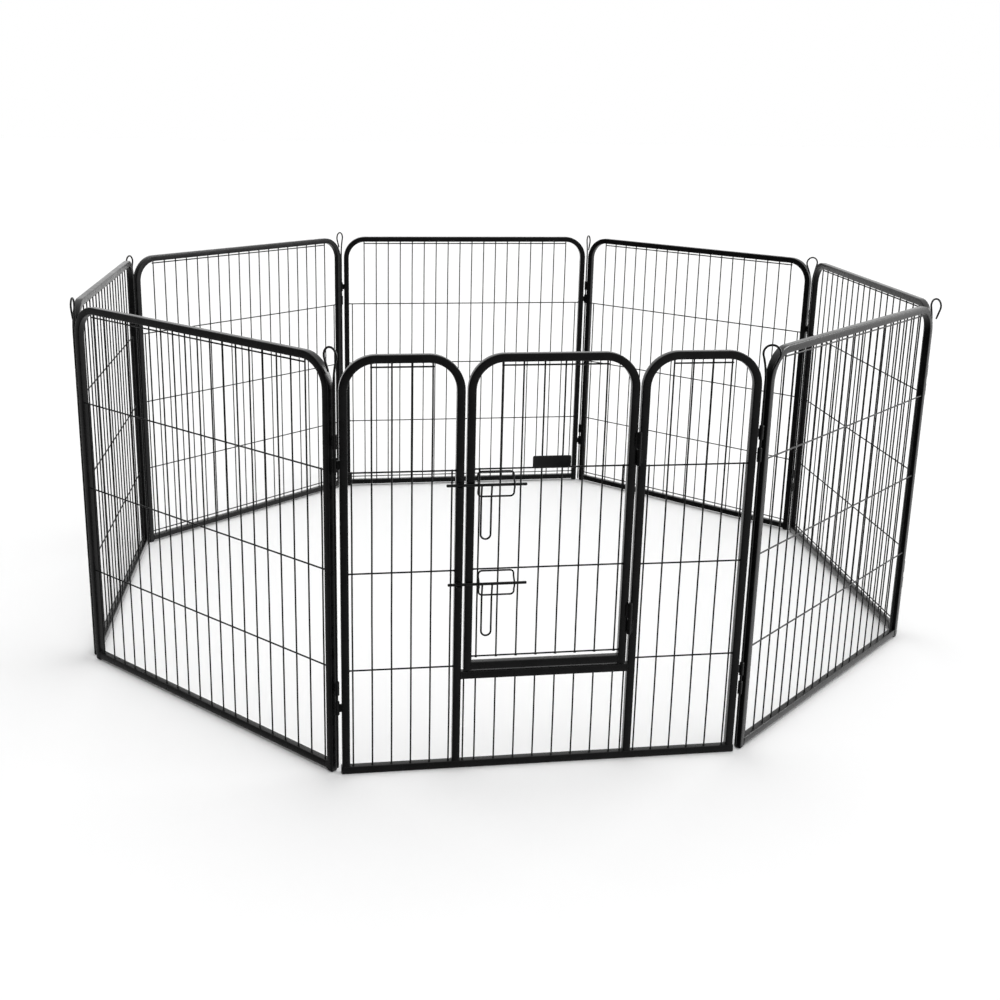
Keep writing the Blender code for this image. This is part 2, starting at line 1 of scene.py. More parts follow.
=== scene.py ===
"""Looks for the eight-panel pet playpen: powder-coated tube frames, wire grids, pins and latches.

Each shape is made once in its panel's own frame, where x runs along the panel from the corner axis
at its start, y points into the pen and z is height, and is then placed on every panel that has it.
All sizes are in metres.
"""

import json
from math import cos, pi, radians, sin

import bmesh
import bpy
from mathutils import Matrix, Vector


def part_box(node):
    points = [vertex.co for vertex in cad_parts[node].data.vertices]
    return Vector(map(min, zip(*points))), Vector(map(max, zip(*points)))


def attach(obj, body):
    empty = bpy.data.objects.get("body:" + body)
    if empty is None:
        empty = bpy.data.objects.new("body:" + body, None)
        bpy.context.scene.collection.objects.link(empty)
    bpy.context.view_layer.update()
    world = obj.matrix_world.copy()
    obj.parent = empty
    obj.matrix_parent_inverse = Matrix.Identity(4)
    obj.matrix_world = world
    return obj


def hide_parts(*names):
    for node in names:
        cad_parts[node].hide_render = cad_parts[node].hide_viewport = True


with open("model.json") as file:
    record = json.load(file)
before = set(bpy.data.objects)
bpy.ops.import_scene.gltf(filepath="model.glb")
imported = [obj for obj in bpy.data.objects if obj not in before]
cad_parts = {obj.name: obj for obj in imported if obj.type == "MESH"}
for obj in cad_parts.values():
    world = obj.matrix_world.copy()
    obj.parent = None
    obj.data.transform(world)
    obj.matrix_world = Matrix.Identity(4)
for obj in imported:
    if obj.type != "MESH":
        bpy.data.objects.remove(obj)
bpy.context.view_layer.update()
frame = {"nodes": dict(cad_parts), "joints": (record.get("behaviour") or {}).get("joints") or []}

# Panels, as the CAD has them
AXIS_OFFSET = 0.008
PANEL_WIDTH = 0.770
SIDE = PANEL_WIDTH + 2 * AXIS_OFFSET
PANEL_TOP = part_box("left_panel_4_frame")[1].z
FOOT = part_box("left_panel_4_frame")[0].z
TUBE = 0.015
HALF = TUBE / 2
EDGE = 0.0019
BEND = 0.066
GAP = 0.0003
OVERLAP = 0.0003
RAIL_OVERLAP = 0.0004
ARCH_LIFT = 0.0002
SHARP_ANGLE = 38

# Wires
WIRE = 0.0016
UPRIGHT_Y = -0.0006
CROSS_Y = -0.0030
PANEL_COLUMNS = (0.0255, 0.03784, 20)
SIDE_COLUMNS = (0.0214, 0.0362, 6)
DOOR_COLUMNS = (0.2525, 0.0380, 8)
SILL_END_WIRES = (0.2301, 0.5405)
CROSS_HEIGHTS = (0.216, 0.406, 0.5955)
SIDE_CROSS_HEIGHTS = (0.2112, 0.402, 0.593)
TOP_WIRE = 0.7838
SIDE_TOP_WIRE = 0.7830
BOTTOM_WIRE = 0.0290
TOP_WIRE_OVERHANG = 0.0022
WELD_SIZE = (0.0019, 0.0009, 0.0019)
# Along a wire from its end: how far, and its size there against the plain wire's
WELDED_END = ((0.0, 1.75), (0.0006, 1.55), (0.0014, 1.15), (0.0026, 1.0))
FREE_END = ((0.0, 0.62), (0.0003, 0.90), (0.0007, 1.0))

# Corner knuckles: the lower barrels are at a panel's start and the upper ones at its end
BARREL = 0.0044
BORE = 0.0027
BARREL_HEIGHT = 0.027
START_KNUCKLES = (0.0, 1, (0.122, 0.594))
END_KNUCKLES = (SIDE, -1, (0.162, 0.6365))

# Front panel and door
ARCH_WIDTH = 0.224
SILL_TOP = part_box("door_sill")[1].z
DOOR_LEFT = AXIS_OFFSET + 0.2285
DOOR_RIGHT = AXIS_OFFSET + 0.5415
DOOR_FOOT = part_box("door_frame")[0].z
DOOR_CROSS = (0.230, 0.4036, 0.5948)
DOOR_AXIS = Vector((AXIS_OFFSET + 0.54375, -0.0120, 0))
HINGES = ((0.2645, 0.3265), (0.5960, 0.6580))
HINGE_BARREL = 0.0040
HINGE_BORE = 0.0023

# Pins and latches
PIN_RADIUS = 0.0021
PIN_TIP = 0.0105
LOOP_TOP = 0.820
LOOP_RADIUS = 0.0155
LOOP_CENTRE = -0.0078
LOOP_HEIGHT = 0.034
BOLT_RADIUS = 0.00275
BOLT_LENGTH = 0.147
HANDLE_RADIUS = 0.0018
GUIDE_RADIUS = 0.0017
GUIDE_BEND = 0.007
KEEPER_HALF = (0.0045, 0.0130)
KEEPER_EAR = (0.0034, 0.0049, 0.0077)

# Camera and light
CAMERA_PLACE = Vector((-0.5769, -3.2041, 1.2461))
CAMERA_YAW, CAMERA_PITCH, CAMERA_ROLL = radians(-8.814), radians(16.587), radians(0.985)
CAMERA_FOCAL = 1.3204
CAMERA_SHIFT = (0.0372, -0.0162)
SENSOR = 36.0
BRIGHT_SIDE = (0.75, 0.66, 0.0)
SKY_DARK, SKY_BRIGHT = 0.10, 1.25


# ---------------------------------------------------------------- mesh tools


def circle(radius, sides):
    angles = [2 * pi * step / sides for step in range(sides)]
    return [(radius * cos(a), radius * sin(a)) for a in angles]


def rounded_square(half, radius, steps=4):
    points = []
    for quarter, (sx, sy) in enumerate(((1, 1), (-1, 1), (-1, -1), (1, -1))):
        for step in range(steps + 1):
            angle = pi / 2 * (quarter + step / steps)
            inner = half - radius
            points.append((sx * inner + radius * cos(angle), sy * inner + radius * sin(angle)))
    return points


def skin(work, rings, closed=False):
    """Faces from each ring of points to the next, and one over each end unless the rings close up."""
    pairs = list(zip(rings, rings[1:]))
    if closed:
        pairs.append((rings[-1], rings[0]))
    for first, second in pairs:
        for k in range(len(first)):
            work.faces.new((first[k - 1], first[k], second[k], second[k - 1]))
    if not closed:
        work.faces.new(rings[0])
        work.faces.new(rings[-1])


def sweep(work, path, section, scales=None, closed=False, side=Vector((0, 1, 0))):
    """Carries a section along a path. side is the direction that the section's second axis keeps to."""
    rings, count = [], len(path)
    for index, point in enumerate(path):
        before = path[index - 1] if index or closed else point
        after = path[(index + 1) % count] if index < count - 1 or closed else point
        along = (after - before).normalized()
        across = (side - along * side.dot(along)).normalized()
        outward = across.cross(along)
        scale = scales[index] if scales else 1.0
        rings.append([work.verts.new(point + scale * (a * outward + b * across)) for a, b in section])
    skin(work, rings, closed)


def turned(work, centre, profile, sides=24):
    """A closed profile of (radius, height) points turned about the vertical through centre."""
    rings = []
    for radius, height in profile:
        ring = [work.verts.new(centre + Vector((x, y, height))) for x, y in circle(radius, sides)]
        rings.append(ring)
    for index, ring in enumerate(rings):
        last = rings[index - 1]
        for k in range(sides):
            work.faces.new((last[k - 1], last[k], ring[k], ring[k - 1]))


def block(work, low, high, bevel):
    """A box with rounded edges."""
    low, high = Vector(low), Vector(high)
    size = high - low
    place = Matrix.Translation((low + high) / 2) @ Matrix.Diagonal((*size, 1.0))
    made = bmesh.ops.create_cube(work, size=1.0, matrix=place)
    edges = list({edge for vert in made["verts"] for edge in vert.link_edges})
    bmesh.ops.bevel(work, geom=edges, offset=bevel, segments=2, profile=0.5, affect="EDGES")


def blob(work, centre, size):
    """A small flattened drop of weld."""
    place = Matrix.Translation(centre) @ Matrix.Diagonal((*size, 1.0))
    bmesh.ops.create_uvsphere(work, u_segments=8, v_segments=6, radius=1.0, matrix=place)


def order_faces(work):
    """Puts faces in the order of their points, as beveled boxes and spheres leave them in any order."""
    work.verts.index_update()
    count = len(work.verts)

    def place(face):
        first, second, third = sorted(vert.index for vert in face.verts)[:3]
        return (first * count + second) * count + third

    work.faces.sort(key=place)


def finished(work, name, material):
    bmesh.ops.recalc_face_normals(work, faces=work.faces)
    order_faces(work)
    mesh = bpy.data.meshes.new(name)
    work.to_mesh(mesh)
    work.free()
    mesh.materials.append(material)
    mesh.shade_smooth()
    mesh.set_sharp_from_angle(angle=radians(SHARP_ANGLE))
    return mesh


def arc(centre_x, centre_z, radius, start, end, steps, y=0.0):
    points = []
    for step in range(steps + 1):
        angle = radians(start + (end - start) * step / steps)
        points.append(Vector((centre_x + radius * cos(angle), y, centre_z + radius * sin(angle))))
    return points


# ---------------------------------------------------------------- tubes and welds


def tube(work, path):
    sweep(work, path, rounded_square(HALF, EDGE))


def arch(work, left, right, foot):
    """An arch of square tube, up its left leg, over the top and down its right leg."""
    radius = BEND - HALF
    path = [Vector((left + HALF, 0, foot))]
    path += arc(left + BEND, PANEL_TOP - BEND, radius, 180, 90, 20)
    path += arc(right - BEND, PANEL_TOP - BEND, radius, 90, 0, 20)
    path.append(Vector((right - HALF, 0, foot)))
    tube(work, path)


def weld_bead(work, centre, axis):
    """The rippled bead round the end of a square tube that meets another."""
    axis = Vector(axis)
    across = Vector((0, 1, 0))
    upward = axis.cross(across)
    outline = rounded_square(HALF - 0.0002, EDGE, 3)
    path = []
    for (a, b), (c, d) in zip(outline, outline[1:] + outline[:1]):
        for share in (0.0, 0.34, 0.67):
            path.append(centre + across * (a + (c - a) * share) + upward * (b + (d - b) * share))
    scales = [1.0 + 0.22 * sin(2.1 * index) for index in range(len(path))]
    sweep(work, path, circle(0.0010, 8), scales, closed=True, side=axis)


def rail_between(work, left, right, foot):
    """A rail butted between the two legs of an arch, with its weld beads."""
    height = foot + HALF
    inner_left, inner_right = left + TUBE, right - TUBE
    ends = (inner_left - RAIL_OVERLAP, inner_right + RAIL_OVERLAP)
    tube(work, [Vector((x, 0, height)) for x in ends])
    weld_bead(work, Vector((inner_left, 0, height)), (1, 0, 0))
    weld_bead(work, Vector((inner_right, 0, height)), (1, 0, 0))


def barrel(work, centre, radius, bore, height):
    """A bored barrel with eased lips."""
    ease = 0.0005
    profile = [
        (bore + ease, 0),
        (radius - ease, 0),
        (radius, ease),
        (radius, height - ease),
        (radius - ease, height),
        (bore + ease, height),
        (bore, height - ease),
        (bore, ease),
    ]
    turned(work, centre, profile)


def knuckles(work, *ends):
    """Two barrels beyond the upright at each of these ends, with the tabs and welds that hold them."""
    for x, side, bottoms in ends:
        for bottom in bottoms:
            middle = bottom + BARREL_HEIGHT / 2
            barrel(work, Vector((x, 0, bottom)), BARREL, BORE, BARREL_HEIGHT)
            near, far = sorted((x + side * 0.0036, x + side * (AXIS_OFFSET + 0.0006)))
            block(work, (near, -0.0012, middle - 0.008), (far, 0.0012, middle + 0.008), 0.0003)
            wall = x + side * AXIS_OFFSET
            for face in (-1, 1):
                heights = [middle + offset * 0.001 for offset in range(-8, 9, 2)]
                path = [Vector((wall, face * 0.0014, height)) for height in heights]
                scales = [0.4] + [1.0 + 0.2 * sin(2.6 * k) for k in range(7)] + [0.4]
                sweep(work, path, circle(0.0009, 8), scales, side=Vector((1, 0, 0)))


# ---------------------------------------------------------------- wires


def column_places(first, pitch, count):
    return [AXIS_OFFSET + first + pitch * index for index in range(count)]


def wire(work, points, start_weld, end_weld):
    """A round wire through points, flared where an end is welded to a tube."""
    first, last = Vector(points[0]), Vector(points[-1])
    path, scales = [Vector(point) for point in points], [1.0] * len(points)
    for weld, at_start in ((start_weld, True), (end_weld, False)):
        tip, next_point = (first, path[1]) if at_start else (last, path[-2])
        inward = (next_point - tip).normalized()
        steps = WELDED_END if weld else FREE_END
        extra = [tip + inward * distance for distance, _ in steps]
        sizes = [size for _, size in steps]
        if at_start:
            path, scales = extra + path[1:], sizes + scales[1:]
        else:
            path, scales = path[:-1] + extra[::-1], scales[:-1] + sizes[::-1]
    sweep(work, path, circle(WIRE, 10), scales)


def upright(work, x, low, high, stops, number, top_welded=True):
    """An upright wire, held straight at each stop and a hair out of line between them."""
    heights = sorted({low, high, *[z for z in stops if low < z < high]})
    points = []
    for index, (start, end) in enumerate(zip(heights, heights[1:])):
        drift = 0.0003 * sin(12.9 * number + 4.1 * index)
        points.append((x, UPRIGHT_Y, start))
        if end - start > 0.05:
            points.append((x + drift, UPRIGHT_Y, (start + end) / 2))
    points.append((x, UPRIGHT_Y, heights[-1]))
    wire(work, points, True, top_welded)


def crossing_welds(work, columns, height):
    middle = (UPRIGHT_Y + CROSS_Y) / 2
    for x in columns:
        blob(work, Vector((x, middle, height)), WELD_SIZE)


def inside_arch(x, left, right):
    """The height of the inside of an arch above x."""
    bend = BEND - TUBE
    into_bend = max(left + BEND - x, x - right + BEND, 0.0)
    return PANEL_TOP - BEND + (bend * bend - into_bend * into_bend) ** 0.5


def grid(work, left, right, low, columns, long_wires, top_height):
    """Uprights, long cross wires from leg to leg, and the short top wire under the arch."""
    high_stop = max(long_wires)
    for number, x in enumerate(columns):
        outer = number in (0, len(columns) - 1)
        high = high_stop + 0.0012 if outer else inside_arch(x, left, right) + OVERLAP
        upright(work, x, low, high, long_wires + (top_height,), number, top_welded=not outer)
    for height in long_wires:
        stops = (left + TUBE - OVERLAP, (left + right) / 2, right - TUBE + OVERLAP)
        wire(work, [(x, CROSS_Y, height) for x in stops], True, True)
        crossing_welds(work, columns, height)
    inner = columns[1:-1]
    ends = (inner[0] - TOP_WIRE_OVERHANG, inner[-1] + TOP_WIRE_OVERHANG)
    wire(work, [(x, CROSS_Y, top_height) for x in ends], False, False)
    crossing_welds(work, inner, top_height)


# ---------------------------------------------------------------- materials


def add_node(tree, kind, **inputs):
    node = tree.nodes.new(kind)
    for name, value in inputs.items():
        node.inputs[name.replace("_", " ")].default_value = value
    return node


def coated(name, dark, light, rough_low, rough_high, grain, grain_depth, specular):
    """A black coating: cloudy colour and gloss, with a fine orange-peel surface."""
    material = bpy.data.materials.new(name)
    material.use_nodes = True
    tree = material.node_tree
    shader = tree.nodes["Principled BSDF"]
    place = tree.nodes.new("ShaderNodeTexCoord")
    cloud = add_node(tree, "ShaderNodeTexNoise", Scale=34.0, Detail=4.0, Roughness=0.6)
    peel = add_node(tree, "ShaderNodeTexNoise", Scale=grain, Detail=3.0, Roughness=0.55)
    colour = tree.nodes.new("ShaderNodeMapRange")
    tint = tree.nodes.new("ShaderNodeMix")
    tint.data_type = "RGBA"
    tint.inputs[6].default_value = (dark, dark, 1.04 * dark, 1.0)
    tint.inputs[7].default_value = (light, light, 1.04 * light, 1.0)
    gloss = add_node(tree, "ShaderNodeMapRange", To_Min=rough_low, To_Max=rough_high)
    for node in (colour, gloss):
        node.inputs["From Min"].default_value = 0.35
        node.inputs["From Max"].default_value = 0.65
    bump = add_node(tree, "ShaderNodeBump", Strength=0.35, Distance=grain_depth)
    links = tree.links
    for texture in (cloud, peel):
        links.new(place.outputs["Object"], texture.inputs["Vector"])
    links.new(cloud.outputs["Fac"], colour.inputs["Value"])
    links.new(colour.outputs["Result"], tint.inputs[0])
    links.new(tint.outputs[2], shader.inputs["Base Color"])
    links.new(cloud.outputs["Fac"], gloss.inputs["Value"])
    links.new(gloss.outputs["Result"], shader.inputs["Roughness"])
    links.new(peel.outputs["Fac"], bump.inputs["Height"])
    links.new(bump.outputs["Normal"], shader.inputs["Normal"])
    shader.inputs["Specular IOR Level"].default_value = specular
    return material


def make_materials():
    return {
        "tube_coat": coated("tube_powder_coat", 0.0024, 0.0048, 0.22, 0.32, 950, 0.00012, 0.20),
        "wire_coat": coated("wire_powder_coat", 0.0026, 0.0052, 0.30, 0.42, 1300, 0.00008, 0.16),
        "rod_coat": coated("rod_powder_coat", 0.0024, 0.0048, 0.24, 0.36, 1200, 0.00008, 0.20),
        "plug_plastic": coated("moulded_plug", 0.0050, 0.0085, 0.46, 0.62, 1800, 0.00006, 0.20),
        "plate_plastic": coated("satin_plate", 0.0045, 0.0070, 0.42, 0.55, 2200, 0.00005, 0.20),
    }


# ---------------------------------------------------------------- the pieces


def plain_tubes(material):
    work = bmesh.new()
    left, right = AXIS_OFFSET, SIDE - AXIS_OFFSET
    arch(work, left, right, FOOT)
    rail_between(work, left, right, FOOT)
    knuckles(work, START_KNUCKLES, END_KNUCKLES)
    return finished(work, "plain_tubes", material)


def plain_grid(name, has_bottom_wire, material):
    work = bmesh.new()
    long_wires = CROSS_HEIGHTS + ((BOTTOM_WIRE,) if has_bottom_wire else ())
    columns = column_places(*PANEL_COLUMNS)
    low = FOOT + TUBE - OVERLAP
    grid(work, AXIS_OFFSET, SIDE - AXIS_OFFSET, low, columns, long_wires, TOP_WIRE)
    return finished(work, name, material)


def front_rail(material):
    work = bmesh.new()
    tube(work, [Vector((AXIS_OFFSET, 0, HALF)), Vector((SIDE - AXIS_OFFSET, 0, HALF))])
    return finished(work, "front_rail", material)


def front_arch(name, left, knuckle_end, hinges, material):
    """One of the two arches that stand on the full-width rail."""
    work = bmesh.new()
    right = left + ARCH_WIDTH
    foot = TUBE + ARCH_LIFT
    arch(work, left, right, foot)
    for leg in (left + HALF, right - HALF):
        weld_bead(work, Vector((leg, 0, foot)), (0, 0, 1))
    knuckles(work, knuckle_end)
    if hinges:
        hinge_leaves(work, on_door=False)
    return finished(work, name, material)


def hinge_leaves(work, on_door):
    """One half of both door hinges: the door has the upper barrels and the post the lower ones."""
    for bottom, top in HINGES:
        split = (bottom + top) / 2
        low, high = (split + GAP, top) if on_door else (bottom, split - GAP)
        barrel(work, DOOR_AXIS + Vector((0, 0, low)), HINGE_BARREL, HINGE_BORE, high - low)
        reach = -1 if on_door else 1
        near, far = sorted((DOOR_AXIS.x + reach * 0.0026, DOOR_AXIS.x + reach * 0.0075))
        leaf_low = (near, DOOR_AXIS.y + 0.0012, low + 0.0025)
        leaf_high = (far, -HALF + 0.0005, high - 0.0025)
        block(work, leaf_low, leaf_high, 0.0004)
        wall = DOOR_AXIS.x + reach * 0.0078
        count = 9
        span = high - low - 0.007
        path = [Vector((wall, -HALF, low + 0.0035 + span * k / (count - 1))) for k in range(count)]
        scales = [0.4] + [1.0 + 0.2 * sin(2.4 * k) for k in range(count - 2)] + [0.4]
        sweep(work, path, circle(0.0011, 8), scales, side=Vector((1, 0, 0)))


def side_grid(name, mirrored, material):
    columns = column_places(*SIDE_COLUMNS)
    left, right = AXIS_OFFSET, AXIS_OFFSET + ARCH_WIDTH
    if mirrored:
        columns = [SIDE - x for x in reversed(columns)]
        left, right = SIDE - right, SIDE - left
    work = bmesh.new()
    grid(work, left, right, TUBE - OVERLAP, columns, SIDE_CROSS_HEIGHTS, SIDE_TOP_WIRE)
    return finished(work, name, material)


def sill(material):
    """The bar under the door and the ten short wires below it."""
    work = bmesh.new()
    left, right = AXIS_OFFSET + ARCH_WIDTH, SIDE - AXIS_OFFSET - ARCH_WIDTH
    height = SILL_TOP - HALF
    tube(work, [Vector((left - 0.0002, 0, height)), Vector((right + 0.0002, 0, height))])
    weld_bead(work, Vector((left, 0, height)), (1, 0, 0))
    weld_bead(work, Vector((right, 0, height)), (1, 0, 0))
    first, last = (AXIS_OFFSET + x for x in SILL_END_WIRES)
    for number, x in enumerate([first, *column_places(*DOOR_COLUMNS), last]):
        upright(work, x, TUBE - OVERLAP, SILL_TOP - TUBE + OVERLAP, (), number)
    return finished(work, "sill", material)


def door_tubes(material):
    work = bmesh.new()
    arch(work, DOOR_LEFT, DOOR_RIGHT, DOOR_FOOT)
    rail_between(work, DOOR_LEFT, DOOR_RIGHT, DOOR_FOOT)
    hinge_leaves(work, on_door=True)
    return finished(work, "door_tubes", material)


def door_grid(material):
    """The door's uprights stop just past its bottom wire, clear of the rail."""
    work = bmesh.new()
    columns = column_places(*DOOR_COLUMNS)
    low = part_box("door_wires")[0].z
    grid(work, DOOR_LEFT, DOOR_RIGHT, low, columns, DOOR_CROSS, TOP_WIRE)
    return finished(work, "door_grid", material)


def corner_pin(material):
    """A straight rod with a tapered tip, bent at its top into an open hand loop."""
    centre = (LOOP_CENTRE, LOOP_TOP - PIN_RADIUS - LOOP_RADIUS, LOOP_RADIUS)
    work = bmesh.new()
    path = [Vector((0, 0, PIN_TIP + z)) for z in (0, 0.0012, 0.0035, 0.008)]
    scales = [0.35, 0.62, 0.86, 1.0]
    path += [Vector((0, 0, 0.40)), Vector((0, 0, 0.745))]
    start = Vector((0, 0, 0.750))
    bend_start = arc(*centre, -18, -18, 1)[0]
    lean = Vector((-sin(radians(-18)), 0, cos(radians(-18))))
    path += hermite(start, bend_start, Vector((0, 0, 0.05)), lean * 0.035, 10)
    path += arc(*centre, -10, 200, 28)
    tail = Vector((-0.0125, 0, 0.7735))
    path += [path[-1].lerp(tail, 0.5), tail + Vector((-0.0003, 0, 0.0010)), tail]
    scales += [1.0] * (len(path) - len(scales) - 2) + [0.9, 0.6]
    sweep(work, path, circle(PIN_RADIUS, 14), scales)
    return finished(work, "corner_pin", material)


def hermite(start, end, leave, arrive, steps):
    points = []
    for step in range(steps + 1):
        t = step / steps
        a, b = 2 * t**3 - 3 * t**2 + 1, t**3 - 2 * t**2 + t
        c, d = -2 * t**3 + 3 * t**2, t**3 - t**2
        points.append(a * start + b * leave + c * end + d * arrive)
    return points


def plug(name, head, depth, dome, material):
    """A tube plug seen from outside: a rounded square head that hangs below z = 0."""
    work = bmesh.new()
    rings = []
    for step in range(9):
        angle = pi / 2 * step / 8
        rings.append((head / 2 - dome * (1 - cos(angle)), -depth + dome - dome * sin(angle)))
    rings.insert(0, (head / 2, -0.0003))
    verts = []
    for half, height in rings:
        outline = rounded_square(half, min(0.0022, half * 0.6), 4)
        verts.append([work.verts.new((x, y, height)) for x, y in outline])
    skin(work, verts)
    return finished(work, name, material)


def latch_bolt(material):
    """A round bolt along x, with its long U handle welded on and hanging."""
    work = bmesh.new()
    ends = [0, 0.0003, 0.0009, 0.0020]
    places = ends + [BOLT_LENGTH / 2] + [BOLT_LENGTH - x for x in reversed(ends)]
    path = [Vector((x, 0, 0)) for x in places]
    scales = [0.70, 0.84, 0.95, 1.0, 1.0, 1.0, 0.95, 0.84, 0.70]
    sweep(work, path, circle(BOLT_RADIUS, 18), scales)
    left, right, bow, drop, lean = 0.0645, 0.0830, 0.0092, 0.1045, 0.0050
    down = Vector((0, 0, -0.02))
    legs = hermite(Vector((left, 0, 0)), Vector((left, lean, -0.030)), down, down, 6)
    path = legs + arc((left + right) / 2, -drop + bow, bow, 180, 360, 16, lean)
    across = Vector((left + right, 0, 0))
    path += [across - Vector((point.x, -point.y, -point.z)) for point in reversed(legs)]
    sweep(work, path, circle(HANDLE_RADIUS, 12))
    for x in (left, right):
        blob(work, Vector((x, 0.0002, -BOLT_RADIUS)), (0.0024, 0.0022, 0.0012))
    return finished(work, "latch_bolt", material)


def bolt_guide(name, node, material):
    """A wire loop that bulges out over the bolt, in the front panel's frame."""
    low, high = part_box(node)
    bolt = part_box(node.replace("bolt_guide", "latch_bolt"))
    radius, bend = GUIDE_RADIUS, GUIDE_BEND
    origin = FRONT.translation
    left, right = low.x - origin.x + radius, high.x - origin.x - radius
    bottom, top = low.z + radius, high.z - radius
    back, out = high.y - origin.y - radius, low.y - origin.y + radius
    bolt_z = bolt[1].z - BOLT_RADIUS
    hang = 0.5 * (back + out) - 0.0010
    # Heights from the bolt, each with how far back the wire stands there
    bulge = ((0.0135, back), (0.0030, out), (-0.0030, out), (-0.0110, hang))
    stops = [(bolt_z + height, y) for height, y in bulge]

    def side(x):
        points = []
        for (z0, y0), (z1, y1) in zip(stops, stops[1:]):
            rise = Vector((0, 0, (z1 - z0) * 0.6))
            points += hermite(Vector((x, y0, z0)), Vector((x, y1, z1)), rise, rise, 5)[:-1]
        return points + [Vector((x, hang, stops[-1][0]))]

    path = arc(right - bend, top - bend, bend, 90, 0, 6, back)
    path += side(right)
    path += arc(right - bend, bottom + bend, bend, 0, -90, 6, hang)
    path += arc(left + bend, bottom + bend, bend, 270, 180, 6, hang)
    path += side(left)[::-1]
    path += arc(left + bend, top - bend, bend, 180, 90, 6, back)
    work = bmesh.new()
    sweep(work, path, circle(radius, 12), closed=True)
    return finished(work, name, material)


def bolt_keeper(material):
    """A plate on the post with an ear above and an ear below the bolt."""
    work = bmesh.new()
    half_x, half_z = KEEPER_HALF
    inner, outer, reach = KEEPER_EAR
    block(work, (-half_x, -0.0010, -half_z), (half_x, 0, half_z), 0.0003)
    for side in (-1, 1):
        low, high = sorted((side * inner, side * outer))
        block(work, (-half_x, -reach, low), (half_x, -0.0006, high), 0.0004)
        blob(work, Vector((0, -0.0003, side * 0.0128)), (0.0036, 0.0011, 0.0014))
    return finished(work, "bolt_keeper", material)


def hinge_pin(material):
    work = bmesh.new()
    length = HINGES[0][1] - HINGES[0][0] + GAP
    profile = [(0.0019, 0.0), (0.0019, length), (0.0036, length), (0.0036, length + 0.0007)]
    profile += [(0.0030, length + 0.0012), (0.0016, length + 0.0014)]
    rings = [[work.verts.new((x, y, z)) for x, y in circle(r, 20)] for r, z in profile]
    skin(work, rings)
    return finished(work, "hinge_pin", material)


def blank_plate(material):
    """A plain name plate with a raised rim, left blank."""
    low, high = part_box("blank_plate")
    size = high - low
    work = bmesh.new()
    half_x, half_z = size.x / 2, size.z / 2

    def outline(inset, y, radius):
        points = []
        for sx, sz, start in ((1, 1, 0), (-1, 1, 90), (-1, -1, 180), (1, -1, 270)):
            cx, cz = sx * (half_x - inset - radius), sz * (half_z - inset - radius)
            for step in range(6):
                angle = radians(start + 18 * step)
                points.append(work.verts.new((cx + radius * cos(angle), y, cz + radius * sin(angle))))
        return points

    face, back = -size.y / 2, size.y / 2
    rings = [
        outline(0.0, back, 0.003),
        outline(0.0, face + 0.0003, 0.003),
        outline(0.0003, face, 0.0028),
        outline(0.0012, face, 0.0022),
        outline(0.0016, face + 0.0003, 0.0018),
    ]
    skin(work, rings)
    return finished(work, "blank_plate_face", material)


# ---------------------------------------------------------------- placing


def panel_places():
    """Each panel's name and the matrix of its own frame, going round the ring from the front."""
    corners = {j["name"]: Vector(j["pos_m"]) for j in frame["joints"] if j["type"] == "hinge"}
    # The back corner has no hinge of its own and stands opposite the front left one.
    front_left = corners["corner_front_left"]
    ring = [front_left] + [corners[f"corner_{k}"] for k in ("front_right", "right_1", "right_2")]
    ring += [-front_left] + [corners[f"corner_{k}"] for k in ("left_3", "left_2", "left_1")]
    names = ["front_panel"] + [f"right_panel_{k}" for k in (1, 2, 3)]
    names += [f"left_panel_{k}" for k in (4, 3, 2, 1)]
    places = {}
    for name, start, end in zip(names, ring, ring[1:] + ring[:1]):
        along = (end - start).normalized()
        inward = Vector((0, 0, 1)).cross(along)
        turn = Matrix((along, inward, Vector((0, 0, 1)))).transposed().to_4x4()
        places[name] = Matrix.Translation((start.x, start.y, 0)) @ turn
    return places


PLACES = panel_places()
FRONT = PLACES["front_panel"]


def piece(name, mesh, matrix, body, slot, *nodes):
    item = bpy.data.objects.new(name, mesh)
    bpy.context.scene.collection.objects.link(item)
    item.matrix_world = matrix
    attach(item, body)
    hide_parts(*nodes)


def shift(x, y, z):
    return Matrix.Translation((x, y, z))


def add_plain_panels(materials):
    tubes = plain_tubes(materials["tube_coat"])
    near = plain_grid("near_grid", False, materials["wire_coat"])
    far = plain_grid("far_grid", True, materials["wire_coat"])
    foot = plug("foot_plug", 0.0142, FOOT, 0.0032, materials["plug_plastic"])
    for name, place in PLACES.items():
        if name == "front_panel":
            continue
        grid_mesh = near if name in ("left_panel_1", "right_panel_1") else far
        piece(f"{name}_tubes", tubes, place, name, "tube_coat", f"{name}_frame")
        piece(f"{name}_grid", grid_mesh, place, name, "wire_coat", f"{name}_wires")
        for end, x in (("start", AXIS_OFFSET + HALF), ("end", SIDE - AXIS_OFFSET - HALF)):
            spot = place @ shift(x, 0, FOOT)
            piece(f"{name}_plug_{end}", foot, spot, name, "plug_plastic", f"{name}_foot_{end}")


